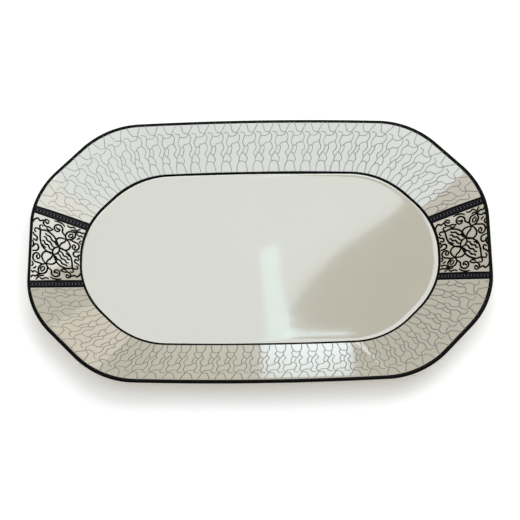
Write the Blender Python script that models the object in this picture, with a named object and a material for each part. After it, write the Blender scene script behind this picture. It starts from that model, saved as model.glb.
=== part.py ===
"""Oblong china serving platter with cut corners, in metres, +Z up, standing on its foot ring at z = 0.

The fired clay body carries two coats of glaze. Over the glaze lie two banded enamel lines and ten printed
transfers: a scroll panel with a beaded strip on each side of it at both ends, and a lattice along both sides.
Every piece follows one cross-section, given as an inset from the lip and a height, swept round one outline.
"""

import math

import bmesh
import bpy
import numpy as np

# Overall sizes, over the black line that wraps the lip.
PLATTER_LENGTH = 0.356
PLATTER_WIDTH = 0.2270
PLATTER_HEIGHT = 0.0280

# Outline of the lip: an octagon with cut corners, rounded at each corner, with bowed long sides.
LIP_CUT = 0.0562
LIP_CORNER_RADIUS = 0.0635
LIP_SIDE_BOW = 0.0070

# The verge is the edge where the sloping rim meets the well.
RIM_WIDTH = 0.0384
VERGE_CUT = 0.0422
VERGE_CORNER_RADIUS = 0.0606
VERGE_SIDE_BOW = 0.0042

# Cross-section of the clay with its glaze on.
WELL_HEIGHT = 0.0090
COVE_WIDTH = 0.0140
COVE_DEPTH = 0.0018
LIP_RADIUS = 0.0016
RIM_THICKNESS = 0.0050
FOOT_HEIGHT = 0.0038
FOOT_SHOULDER = 0.0011
FOOT_INSET = 0.0100
FOOT_WIDTH = 0.0050
FOOT_CHAMFER = 0.0008
FOOT_DRAFT = 0.0006
BARE_FOOT_HEIGHT = 0.0014

# Coats, and the clearance that is kept between one coat and the next.
GLAZE_THICKNESS = 0.0003
ENAMEL_THICKNESS = 0.0003
CLEARANCE = 0.0003

# Decoration.
RIM_LINE_REACH = 0.0004
RIM_LINE_TUCK = 0.0006
VERGE_LINE_WIDTH = 0.0015
BAND_WIDTH = 0.0058
BAND_OFFSET_AT_LIP = 0.0330
BAND_OFFSET_AT_VERGE = 0.0260

# Steps of the sweep in one quarter of the outline, and of the cross-section.
END_STEPS = 2
BAND_STEPS = 2
CORNER_STEPS = 7
SHOULDER_STEPS = 8
SIDE_STEPS = 3
FILLET_STEPS = 24
LIP_STEPS = 6
RIM_STEPS = 3

HALF_CORNER_TANGENT = math.tan(math.pi / 8)
CUT_INSET_SHARE = 2 - math.sqrt(2)
COAT = GLAZE_THICKNESS + CLEARANCE
LINE_COAT = ENAMEL_THICKNESS + CLEARANCE


class Outline:
    """A closed outline, symmetric about X and Y, addressed by quarters of its length.

    Position 0 is the end of the platter at +X, 1 the middle of the side at +Y, and so on round to 4.
    """

    def __init__(self, half_length, half_width, cut, radius, bow):
        self.sizes = (half_length, half_width, cut, radius, bow)
        flat = half_width - bow
        room = min(cut / math.sqrt(2), flat - cut, half_length - cut)
        radius = max(min(radius, room / HALF_CORNER_TANGENT), CLEARANCE)
        tangent = radius * HALF_CORNER_TANGENT
        centres = (
            np.array([half_length - radius, flat - cut - tangent]),
            np.array([half_length - cut - tangent, flat - radius]),
        )
        turn = np.linspace(0, math.pi / 4, FILLET_STEPS + 1)
        arcs = [
            centre + radius * np.column_stack((np.cos(start + turn), np.sin(start + turn)))
            for centre, start in zip(centres, (0, math.pi / 4))
        ]
        side = np.column_stack((np.linspace(arcs[1][-1, 0], 0, FILLET_STEPS), np.full(FILLET_STEPS, flat)))
        points = np.vstack(([[half_length, 0]], arcs[0], arcs[1], side[1:]))
        points[:, 1] += points[:, 1] / flat * bow * (1 - (points[:, 0] / half_length) ** 2)
        steps = np.hypot(*np.diff(points, axis=0).T)
        self.points = points
        self.place = np.concatenate(([0], np.cumsum(steps))) / steps.sum()
        self.corner_middle = self.place[FILLET_STEPS + 1: FILLET_STEPS + 3].mean()
        self.side_start = self.place[2 * FILLET_STEPS + 2]

    def inset(self, distance):
        """The outline moved inwards by a distance, square to itself."""
        half_length, half_width, cut, radius, bow = self.sizes
        return Outline(
            half_length - distance,
            half_width - distance,
            cut - CUT_INSET_SHARE * distance,
            radius - distance,
            bow,
        )

    def place_at(self, offset):
        """Position on the first quarter where the outline is this far from the X axis."""
        return np.interp(offset, self.points[:, 1], self.place)

    def at(self, positions):
        """Points at positions counted in quarters, as rows of x and y."""
        turned = np.mod(positions, 4)
        quarter = np.floor(turned).astype(int)
        local = np.where(quarter % 2 == 0, turned - quarter, 1 - (turned - quarter))
        x = np.interp(local, self.place, self.points[:, 0]) * np.where((quarter == 1) | (quarter == 2), -1, 1)
        y = np.interp(local, self.place, self.points[:, 1]) * np.where(quarter > 1, -1, 1)
        return np.column_stack((x, y))


GLAZED_LIP = Outline(
    PLATTER_LENGTH / 2 - LINE_COAT, PLATTER_WIDTH / 2 - LINE_COAT, LIP_CUT, LIP_CORNER_RADIUS, LIP_SIDE_BOW
)
VERGE = Outline(
    PLATTER_LENGTH / 2 - LINE_COAT - RIM_WIDTH,
    PLATTER_WIDTH / 2 - LINE_COAT - RIM_WIDTH,
    VERGE_CUT,
    VERGE_CORNER_RADIUS,
    VERGE_SIDE_BOW,
)


def band_edge(outward, clearance):
    """Stations of a beaded strip's edge, on the lip and on the verge.

    outward is 1 for the edge away from the scroll panel and -1 for the edge next to it. clearance moves the
    station further round, towards the side of the platter.
    """
    reach = outward * BAND_WIDTH / 2 + clearance
    return np.array([
        GLAZED_LIP.place_at(BAND_OFFSET_AT_LIP + reach),
        VERGE.place_at(BAND_OFFSET_AT_VERGE + reach),
    ])


def spread(keys, steps):
    """Stations that run through the key stations, with a number of even steps between each pair."""
    runs = [a + (b - a) * np.linspace(0, 1, n + 1)[:-1, None] for a, b, n in zip(keys, keys[1:], steps)]
    return np.vstack(runs + [keys[-1][None]])


CORNER = np.array([GLAZED_LIP.corner_middle, VERGE.corner_middle])
SIDE_START = np.array([GLAZED_LIP.side_start, VERGE.side_start])
END_MIDDLE = np.zeros(2)
SIDE_MIDDLE = np.ones(2)


def full_stations():
    """Stations all the way round, mirrored from one quarter."""
    keys = [END_MIDDLE, band_edge(-1, 0), band_edge(1, 0), CORNER, SIDE_START, SIDE_MIDDLE]
    quarter = spread(keys, (END_STEPS, BAND_STEPS, CORNER_STEPS, SHOULDER_STEPS, SIDE_STEPS))
    half = np.vstack((quarter, 2 - quarter[-2::-1]))
    return np.vstack((half, half[1:-1] + 2))


def side_stations():
    """Stations along the +Y side, from one beaded strip to the other."""
    keys = [band_edge(1, CLEARANCE), CORNER, SIDE_START, SIDE_MIDDLE]
    quarter = spread(keys, (CORNER_STEPS, SHOULDER_STEPS, SIDE_STEPS))
    return np.vstack((quarter, 2 - quarter[-2::-1]))


def end_stations():
    """Stations across the +X end, between its two beaded strips."""
    quarter = spread([END_MIDDLE, band_edge(-1, -CLEARANCE)], (END_STEPS,))
    return np.vstack((-quarter[:0:-1], quarter))


def strip_stations():
    """Stations across the beaded strip at +X and +Y."""
    return spread([band_edge(-1, 0), band_edge(1, 0)], (BAND_STEPS,))


def tangent_angle(height_at_verge, side):
    """Slope of the line from the verge that touches the round lip.

    side is 1 for the line above the lip and -1 for the line below it.
    """
    run = RIM_WIDTH - LIP_RADIUS
    rise = PLATTER_HEIGHT - LINE_COAT - LIP_RADIUS - height_at_verge
    return math.atan2(rise, run) + side * math.asin(LIP_RADIUS / math.hypot(run, rise))


VERGE_HEIGHT = WELL_HEIGHT + COVE_DEPTH
FACE_SLOPE = tangent_angle(VERGE_HEIGHT, 1)
BACK_SLOPE = tangent_angle(VERGE_HEIGHT - RIM_THICKNESS, -1)


def lip_section():
    """The round lip from the face to the back, as rows of inset and height."""
    turn = np.linspace(math.pi / 2 + FACE_SLOPE, BACK_SLOPE - math.pi / 2, LIP_STEPS + 1)
    centre_height = PLATTER_HEIGHT - LINE_COAT - LIP_RADIUS
    return np.column_stack((LIP_RADIUS * (1 - np.cos(turn)), centre_height + LIP_RADIUS * np.sin(turn)))


def along(start, slope, distance):
    """The point at a distance from start, inwards and down a line of this slope."""
    return [start[0] + distance * math.cos(slope), start[1] - distance * math.sin(slope)]


def straight(start, end):
    """The rim's straight run from start to end, in even steps."""
    return np.linspace(start, end, RIM_STEPS + 1)


def glazed_section():
    """The glazed surface from the flat well's edge, over the lip, to where the glaze stops on the foot."""
    climb = np.linspace(0, 1, 4)
    cove = np.column_stack((RIM_WIDTH + COVE_WIDTH * (1 - climb), WELL_HEIGHT + COVE_DEPTH * climb**2))
    lip = lip_section()
    face = straight(cove[-1], lip[0])
    back = straight(lip[-1], (RIM_WIDTH, VERGE_HEIGHT - RIM_THICKNESS))
    foot = RIM_WIDTH + FOOT_INSET
    foot_wall = [[foot, FOOT_HEIGHT + FOOT_SHOULDER], [foot + FOOT_DRAFT, BARE_FOOT_HEIGHT]]
    return np.vstack((cove, face[1:], lip[1:], back[1:], foot_wall))


def offset(section, distance):
    """The section moved outwards by a distance, square to itself."""
    outward = section * (-1, 1)
    runs = np.diff(outward, axis=0)
    normals = np.column_stack((-runs[:, 1], runs[:, 0])) / np.hypot(*runs.T)[:, None]
    before = np.vstack((normals[:1], normals))
    after = np.vstack((normals, normals[-1:]))
    mitre = (before + after) / (1 + (before * after).sum(axis=1))[:, None]
    return (outward + distance * mitre) * (-1, 1)


def ring(inset, stations):
    """Points of the outline at this inset from the glazed lip, one for each station.

    On the rim the outline changes evenly from the lip's to the verge's. Inside the verge it keeps the verge's
    form. An inset below zero stands clear of the lip.
    """
    if inset > RIM_WIDTH:
        return VERGE.inset(inset - RIM_WIDTH).at(stations[:, 1])
    if inset < 0:
        return GLAZED_LIP.inset(inset).at(stations[:, 0])
    share = inset / RIM_WIDTH
    return GLAZED_LIP.at(stations[:, 0]) * (1 - share) + VERGE.at(stations[:, 1]) * share


def sweep(section, stations, closed, caps=(False, False)):
    """A mesh of the section carried round the stations, with its faces towards the section's outer side.

    closed joins the last station to the first. caps fills the first and the last ring with a flat face.
    """
    mesh = bmesh.new()
    rings = [[mesh.verts.new((x, y, height)) for x, y in ring(inset, stations)] for inset, height in section]
    count = len(stations)
    for inner, outer in zip(rings, rings[1:]):
        for i in range(count if closed else count - 1):
            after = (i + 1) % count
            mesh.faces.new((inner[i], outer[i], outer[after], inner[after]))
    if caps[0]:
        mesh.faces.new(rings[0])
    if caps[1]:
        mesh.faces.new(rings[-1][::-1])
    return mesh


def material(name, colour, roughness):
    """A plain glossy or matt ceramic material."""
    made = bpy.data.materials.new(name)
    made.use_nodes = True
    shader = made.node_tree.nodes["Principled BSDF"]
    shader.inputs["Base Color"].default_value = (*colour, 1)
    shader.inputs["Roughness"].default_value = roughness
    shader.inputs["Metallic"].default_value = 0
    return made


def place(name, mesh, finish, thickness=0.0, turn=0.0):
    """Puts a mesh in the scene as an object with one finish.

    thickness grows a sheet outwards into a solid coat. turn rotates the piece about the vertical axis.
    """
    data = bpy.data.meshes.new(name)
    mesh.to_mesh(data)
    mesh.free()
    data.shade_smooth()
    data.set_sharp_from_angle(angle=math.radians(40))
    data.materials.append(finish)
    piece = bpy.data.objects.new(name, data)
    piece.rotation_euler.z = turn
    bpy.context.scene.collection.objects.link(piece)
    if thickness:
        coat = piece.modifiers.new("coat", "SOLIDIFY")
        coat.thickness = thickness
        coat.offset = 1
        coat.use_even_offset = True
    return piece


def mirrored(mesh):
    """The mesh mirrored to the other side of the X axis."""
    bmesh.ops.scale(mesh, vec=(1, -1, 1), verts=mesh.verts)
    bmesh.ops.reverse_faces(mesh, faces=mesh.faces)
    return mesh


def make_body(finish):
    """The clay body: the glazed section less its coat, closed by a bare foot ring and a flat base."""
    foot = RIM_WIDTH + FOOT_INSET + FOOT_DRAFT + COAT
    bare_foot = [
        [foot, FOOT_CHAMFER],
        [foot + FOOT_CHAMFER, 0],
        [foot + FOOT_WIDTH, 0],
        [foot + FOOT_WIDTH + FOOT_CHAMFER, FOOT_CHAMFER],
        [foot + FOOT_WIDTH + FOOT_CHAMFER + FOOT_DRAFT, FOOT_HEIGHT + COAT],
    ]
    section = np.vstack((offset(glazed_section(), -COAT), bare_foot))
    place("porcelain_body", sweep(section, full_stations(), True, (True, True)), finish)


def make_glaze(finish):
    """The coat over the face, lip and back, and the separate patch of glaze inside the foot ring."""
    section = offset(glazed_section(), -GLAZE_THICKNESS)
    place("glaze_coat", sweep(section, full_stations(), True, (True, False)), finish, GLAZE_THICKNESS)
    edge = RIM_WIDTH + FOOT_INSET + FOOT_WIDTH + COAT + 2 * (FOOT_DRAFT + FOOT_CHAMFER)
    base = bmesh.new()
    height = FOOT_HEIGHT + GLAZE_THICKNESS
    base.faces.new([base.verts.new((x, y, height)) for x, y in ring(edge, full_stations())][::-1])
    place("glaze_inside_foot", base, finish, GLAZE_THICKNESS)


def make_lines(finish):
    """The black line that wraps the lip, and the black line along the verge."""
    lip = lip_section()
    face_edge = along(lip[0], FACE_SLOPE, RIM_LINE_REACH)
    back_edge = along(lip[-1], BACK_SLOPE, RIM_LINE_TUCK)
    wrap = np.vstack(([face_edge], lip, [back_edge]))
    place("rim_line", sweep(offset(wrap, CLEARANCE), full_stations(), True), finish, ENAMEL_THICKNESS)
    cove_slope = math.atan2(2 * COVE_DEPTH, COVE_WIDTH)
    verge = (RIM_WIDTH, VERGE_HEIGHT)
    half = VERGE_LINE_WIDTH / 2
    line = np.array([along(verge, cove_slope, half), verge, along(verge, FACE_SLOPE, -half)])
    place("verge_line", sweep(offset(line, CLEARANCE), full_stations(), True), finish, ENAMEL_THICKNESS)


def make_transfers(scroll, beads, lattice):
    """The printed transfers on the rim, between the verge line and the rim line."""
    lip_edge = along(lip_section()[0], FACE_SLOPE, RIM_LINE_REACH + CLEARANCE)
    verge_edge = along((RIM_WIDTH, VERGE_HEIGHT), FACE_SLOPE, -(VERGE_LINE_WIDTH / 2 + CLEARANCE))
    section = offset(straight(verge_edge, lip_edge), CLEARANCE)
    for end, turn in (("right", 0.0), ("left", math.pi)):
        place(f"scroll_panel_{end}", sweep(section, end_stations(), False), scroll, ENAMEL_THICKNESS, turn)
        far = sweep(section, strip_stations(), False)
        near = mirrored(sweep(section, strip_stations(), False))
        if turn:
            far, near = near, far
        place(f"bead_band_{end}_far", far, beads, ENAMEL_THICKNESS, turn)
        place(f"bead_band_{end}_near", near, beads, ENAMEL_THICKNESS, turn)
    for side, turn in (("far", 0.0), ("near", math.pi)):
        place(f"lattice_{side}", sweep(section, side_stations(), False), lattice, ENAMEL_THICKNESS, turn)


def main():
    """Empties the scene and builds the platter."""
    for item in list(bpy.data.objects):
        bpy.data.objects.remove(item, do_unlink=True)
    make_body(material("bare_porcelain", (0.80, 0.78, 0.72), 0.75))
    make_glaze(material("clear_glaze", (0.86, 0.86, 0.82), 0.08))
    make_lines(material("black_enamel", (0.012, 0.012, 0.013), 0.18))
    make_transfers(
        material("black_scroll_print", (0.30, 0.30, 0.29), 0.20),
        material("charcoal_print", (0.035, 0.036, 0.042), 0.22),
        material("grey_lattice_print", (0.66, 0.67, 0.65), 0.15),
    )


main()
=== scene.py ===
"""Looks of an oblong china serving platter with cut corners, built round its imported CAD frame.

The platter is glazed white china. Over the glaze it carries a black line round the lip, a black line
along the verge (the edge where the sloping rim meets the well), a lattice print along both sides, and at
each end a scroll print between two beaded bands. All prints are thin raised enamel, laid on the rim by
one surface function, so they follow the glaze exactly. Lengths are in metres and +Z is up.
"""

import logging
import math
from dataclasses import dataclass, field
from enum import Enum
from functools import cached_property

import bpy
import numpy as np
from mathutils import Matrix, Vector


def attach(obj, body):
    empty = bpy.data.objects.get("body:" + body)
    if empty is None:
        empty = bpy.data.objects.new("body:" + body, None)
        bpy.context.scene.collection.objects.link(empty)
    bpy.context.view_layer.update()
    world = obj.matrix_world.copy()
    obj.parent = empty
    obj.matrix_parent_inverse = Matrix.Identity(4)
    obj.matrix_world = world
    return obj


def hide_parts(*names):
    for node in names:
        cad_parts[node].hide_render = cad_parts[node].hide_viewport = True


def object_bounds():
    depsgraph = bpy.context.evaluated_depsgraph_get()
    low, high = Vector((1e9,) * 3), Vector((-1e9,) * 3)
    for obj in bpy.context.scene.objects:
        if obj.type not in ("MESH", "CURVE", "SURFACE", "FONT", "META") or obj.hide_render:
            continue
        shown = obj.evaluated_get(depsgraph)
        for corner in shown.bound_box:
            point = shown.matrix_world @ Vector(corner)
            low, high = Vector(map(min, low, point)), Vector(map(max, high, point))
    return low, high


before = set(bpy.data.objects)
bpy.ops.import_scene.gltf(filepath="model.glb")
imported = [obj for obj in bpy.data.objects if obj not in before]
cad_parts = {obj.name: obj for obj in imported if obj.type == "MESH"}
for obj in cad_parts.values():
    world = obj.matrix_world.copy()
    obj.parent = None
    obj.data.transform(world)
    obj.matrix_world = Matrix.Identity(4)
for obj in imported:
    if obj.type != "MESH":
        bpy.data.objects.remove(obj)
CAD_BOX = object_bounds()
LOG = logging.getLogger("platter")
ROOT = "root"

EIGHTH_TURN = math.pi / 4
HALF_CORNER_TANGENT = math.tan(math.pi / 8)


class End(Enum):
    """The two ends of the platter, as the quarter of the outline where each has its middle."""

    RIGHT = 0.0
    LEFT = 2.0

    @property
    def label(self) -> str:
        """The end's name in piece and node names."""
        return self.name.lower()


class Side(Enum):
    """The two long sides of the platter, as the quarter of the outline where each has its middle."""

    FAR = 1.0
    NEAR = 3.0

    @property
    def label(self) -> str:
        """The side's name in piece and node names."""
        return self.name.lower()


# ---------------------------------------------------------------------------------------------------------
# Finishes
# ---------------------------------------------------------------------------------------------------------


@dataclass(frozen=True)
class NodeBoard:
    """The node tree of one material, with short ways to lay out what every finish needs."""

    tree: bpy.types.NodeTree

    @cached_property
    def place(self) -> bpy.types.NodeSocket:
        """The socket that gives Object coordinates."""
        return self.tree.nodes.new("ShaderNodeTexCoord").outputs["Object"]

    def noise(
        self, scale: float, detail: float, place: bpy.types.NodeSocket | None = None
    ) -> bpy.types.NodeSocket:
        """Lays out a noise.

        Args:
            scale: Features per metre.
            detail: Octaves of finer noise on top.
            place: The socket that gives coordinates, Object coordinates if left out.

        Returns:
            The noise's value.
        """
        noise = self.tree.nodes.new("ShaderNodeTexNoise")
        noise.inputs["Scale"].default_value = scale
        noise.inputs["Detail"].default_value = detail
        self.tree.links.new(place or self.place, noise.inputs["Vector"])
        return noise.outputs["Fac"]

    def remap(
        self, value: bpy.types.NodeSocket, source: tuple[float, float], target: tuple[float, float]
    ) -> bpy.types.NodeSocket:
        """Stretches one range of a value on to another by a smooth step, and holds it inside.

        Args:
            value: The socket to stretch.
            source: Lowest and highest value taken.
            target: What these become.

        Returns:
            The stretched value.
        """
        ramp = self.tree.nodes.new("ShaderNodeMapRange")
        ramp.interpolation_type = "SMOOTHSTEP"
        for name, number in zip(("From Min", "From Max", "To Min", "To Max"), (*source, *target)):
            ramp.inputs[name].default_value = number
        self.tree.links.new(value, ramp.inputs["Value"])
        return ramp.outputs["Result"]

    def rubbed(self, rough: bpy.types.NodeSocket, strength: float) -> bpy.types.NodeSocket:
        """Adds fine rubbed marks, long in one direction, as the roughness plus a thin share of a noise.

        Args:
            rough: The roughness so far.
            strength: Roughness added in the middle of a mark.

        Returns:
            The worn roughness.
        """
        stretch = self.tree.nodes.new("ShaderNodeMapping")
        stretch.inputs["Rotation"].default_value = (0, 0, 0.5)
        stretch.inputs["Scale"].default_value = (1.0, 14.0, 1.0)
        self.tree.links.new(self.place, stretch.inputs["Vector"])
        marks = self.noise(60.0, 2.0, stretch.outputs["Vector"])
        total = self.tree.nodes.new("ShaderNodeMath")
        total.operation = "ADD"
        self.tree.links.new(rough, total.inputs[0])
        self.tree.links.new(self.remap(marks, (0.66, 0.74), (0.0, strength)), total.inputs[1])
        return total.outputs[0]

    def bump(
        self, height: float, scale: float, normal: bpy.types.NodeSocket | None
    ) -> bpy.types.NodeSocket:
        """Lays a bump on top of the one before it.

        Args:
            height: Height of the bump in metres.
            scale: Features per metre.
            normal: The normal so far, if there is one.

        Returns:
            The new normal.
        """
        bump = self.tree.nodes.new("ShaderNodeBump")
        bump.inputs["Strength"].default_value = 1.0
        bump.inputs["Distance"].default_value = height
        self.tree.links.new(self.noise(scale, 1.0), bump.inputs["Height"])
        if normal is not None:
            self.tree.links.new(normal, bump.inputs["Normal"])
        return bump.outputs["Normal"]


@dataclass(frozen=True)
class Finish:
    """A fired ceramic finish, as a procedural material on Object coordinates.

    Attributes:
        name: The material's name.
        slot: The material slot that it belongs to. Not used by this script.
        colour: Linear base colour.
        tint: Linear colour that the base colour drifts towards in soft patches.
        drift: Share of the tint at the strongest patch.
        roughness: Lowest and highest roughness, mixed by a fine noise.
        gloss: Weight of the clear coat on top.
        coat_roughness: Roughness of that coat.
        ripple: Height in metres of the shallow ripples of the surface.
        ripple_scale: Ripples per metre.
        grain: Height in metres of the fine grain.
        grain_scale: Grains per metre.
        wear: Strength of the fine rubbed marks, 0 for none.
        index: Refractive index of the glaze and its coat.
        specular: Level of the mirror reflection under the coat, 0.5 for plain glass.
        patch_scale: Soft patches of colour per metre.
        mottle_scale: Spots of changed roughness per metre.
    """

    name: str
    slot: str
    colour: tuple[float, float, float]
    tint: tuple[float, float, float]
    drift: float = 0.2
    roughness: tuple[float, float] = (0.08, 0.14)
    gloss: float = 0.0
    coat_roughness: float = 0.03
    ripple: float = 0.0
    ripple_scale: float = 24.0
    grain: float = 0.0
    grain_scale: float = 1500.0
    wear: float = 0.0
    index: float = 1.5
    specular: float = 0.5
    patch_scale: float = 14.0
    mottle_scale: float = 220.0

    @cached_property
    def material(self) -> bpy.types.Material:
        """The material: colour by soft patches, roughness by fine noise and wear, bump by ripples."""
        made = bpy.data.materials.new(self.name)
        made.use_nodes = True
        tree = made.node_tree
        board = NodeBoard(tree)
        shader = tree.nodes["Principled BSDF"]
        shader.inputs["Coat Weight"].default_value = self.gloss
        shader.inputs["Coat IOR"].default_value = self.index
        shader.inputs["IOR"].default_value = self.index
        shader.inputs["Specular IOR Level"].default_value = self.specular
        shader.inputs["Coat Roughness"].default_value = self.coat_roughness

        colour = tree.nodes.new("ShaderNodeMix")
        colour.data_type = "RGBA"
        share = board.remap(board.noise(self.patch_scale, 3.0), (0.35, 0.75), (0.0, self.drift))
        tree.links.new(share, colour.inputs["Factor"])
        colour.inputs[6].default_value = (*self.colour, 1)
        colour.inputs[7].default_value = (*self.tint, 1)
        tree.links.new(colour.outputs[2], shader.inputs["Base Color"])

        rough = board.remap(board.noise(self.mottle_scale, 4.0), (0.3, 0.7), self.roughness)
        if self.wear:
            rough = board.rubbed(rough, self.wear)
        tree.links.new(rough, shader.inputs["Roughness"])

        normal = None
        for height, scale in ((self.ripple, self.ripple_scale), (self.grain, self.grain_scale)):
            if height:
                normal = board.bump(height, scale, normal)
        if normal is not None:
            tree.links.new(normal, shader.inputs["Normal"])
        return made


WHITE_GLAZE = Finish(
    name="white_china_glaze",
    slot="clear_glaze",
    colour=(0.545, 0.518, 0.445),
    tint=(0.525, 0.496, 0.415),
    drift=0.5,
    roughness=(0.045, 0.07),
    gloss=1.0,
    index=1.6,
    specular=0.8,
    ripple=0.00003,
    ripple_scale=26.0,
    grain=0.0000015,
    wear=0.05,
)
BARE_CLAY = Finish(
    name="bare_fired_clay",
    slot="bare_porcelain",
    colour=(0.60, 0.57, 0.50),
    tint=(0.42, 0.37, 0.30),
    drift=0.6,
    roughness=(0.62, 0.82),
    grain=0.00004,
    grain_scale=1800.0,
)
BLACK_ENAMEL = Finish(
    name="black_line_enamel",
    slot="black_enamel",
    colour=(0.0030, 0.0030, 0.0034),
    tint=(0.0060, 0.0060, 0.0065),
    drift=0.5,
    roughness=(0.16, 0.26),
    specular=0.05,
    grain=0.000006,
    grain_scale=900.0,
    wear=0.08,
)
SCROLL_BLACK = Finish(
    name="black_scroll_enamel",
    slot="black_scroll_print",
    colour=(0.0030, 0.0030, 0.0034),
    tint=(0.0070, 0.0070, 0.0070),
    drift=0.5,
    roughness=(0.2, 0.32),
    specular=0.05,
    grain=0.000006,
)
BAND_CHARCOAL = Finish(
    name="charcoal_band_enamel",
    slot="charcoal_print",
    colour=(0.0165, 0.0170, 0.0215),
    tint=(0.024, 0.024, 0.030),
    drift=0.5,
    roughness=(0.24, 0.36),
    specular=0.06,
    grain=0.000006,
)
BEAD_GREY = Finish(
    name="grey_bead_enamel",
    slot="charcoal_print",
    colour=(0.160, 0.162, 0.172),
    tint=(0.090, 0.092, 0.102),
    drift=0.5,
    roughness=(0.2, 0.3),
    specular=0.2,
    grain=0.000004,
)
LATTICE_GREY = Finish(
    name="grey_lattice_enamel",
    slot="grey_lattice_print",
    colour=(0.235, 0.232, 0.205),
    tint=(0.300, 0.292, 0.255),
    drift=0.8,
    roughness=(0.12, 0.2),
    gloss=0.3,
    grain=0.000004,
)


# ---------------------------------------------------------------------------------------------------------
# Meshes from arrays
# ---------------------------------------------------------------------------------------------------------


def grid_faces(rows: int, columns: int, close_rows: bool, close_columns: bool) -> np.ndarray:
    """Quads between neighbours of a grid of points numbered row by row.

    Args:
        rows: Number of rows.
        columns: Points in a row.
        close_rows: Whether the last row joins the first.
        close_columns: Whether a row's last point joins its first.

    Returns:
        One row of four point numbers for each quad, wound from row to next row to next column.
    """
    row = np.arange(rows if close_rows else rows - 1)[:, None]
    column = np.arange(columns if close_columns else columns - 1)[None]
    row_after, column_after = (row + 1) % rows, (column + 1) % columns
    corners = (
        row * columns + column,
        row_after * columns + column,
        row_after * columns + column_after,
        row * columns + column_after,
    )
    return np.stack(corners, -1).reshape(-1, 4)


def tube_faces(tubes: int, rings: int, points: int, closed: bool) -> list[np.ndarray]:
    """Faces of many tubes at once, each a run of rings of points.

    Args:
        tubes: Number of tubes.
        rings: Rings in a tube.
        points: Points in a ring.
        closed: Whether the last ring joins the first. If not, both ends get a flat cap.

    Returns:
        Arrays of point numbers, one for each number of corners.
    """
    sides = grid_faces(rings, points, closed, True)
    first = np.arange(tubes)[:, None, None] * rings * points
    faces = [(sides + first).reshape(-1, 4)]
    if not closed:
        cap = np.arange(points)[None, None]
        faces.append((cap + first).reshape(-1, points))
        faces.append((cap[..., ::-1] + first + (rings - 1) * points).reshape(-1, points))
    return faces


def pole_faces(rows: int, points: int) -> list[np.ndarray]:
    """Faces of a stack of closed rings whose first and last ring each fan in to a pole.

    Args:
        rows: Number of rings.
        points: Points in a ring. The first ring's pole is numbered after all of them, then the last one's.

    Returns:
        Arrays of point numbers: the quads between the rings, and the triangles round each pole.
    """
    ring = np.arange(points)
    after = (ring + 1) % points
    last = (rows - 1) * points
    return [
        grid_faces(rows, points, False, True),
        np.column_stack((np.full(points, rows * points), ring, after)),
        np.column_stack((np.full(points, rows * points + 1), last + after, last + ring)),
    ]


def piece(
    name: str, points: np.ndarray, faces: list[np.ndarray], finish: Finish, node: str,
    sharp_angle: float = 30.0,
) -> bpy.types.Object:
    """Puts arrays of points and faces in the scene as one piece of the object.

    Args:
        name: The piece's name.
        points: Rows of x, y and z.
        faces: Arrays of point numbers, one array for each number of corners.
        finish: The finish that it is given.
        node: The CAD node that the piece stands for.
        sharp_angle: Angle in degrees above which an edge stays sharp.

    Returns:
        The finished object.
    """
    data = bpy.data.meshes.new(name)
    data.from_pydata(points.reshape(-1, 3), [], [corners for run in faces for corners in run.tolist()])
    data.validate()
    data.shade_smooth()
    data.set_sharp_from_angle(angle=math.radians(sharp_angle))
    data.materials.append(finish.material)
    made = bpy.data.objects.new(name, data)
    bpy.context.scene.collection.objects.link(made)
    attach(made, ROOT)
    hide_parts(node)
    LOG.info("%s: %d points, %d faces", name, len(data.vertices), len(data.polygons))
    return made


# ---------------------------------------------------------------------------------------------------------
# The form of the platter
# ---------------------------------------------------------------------------------------------------------


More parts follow.
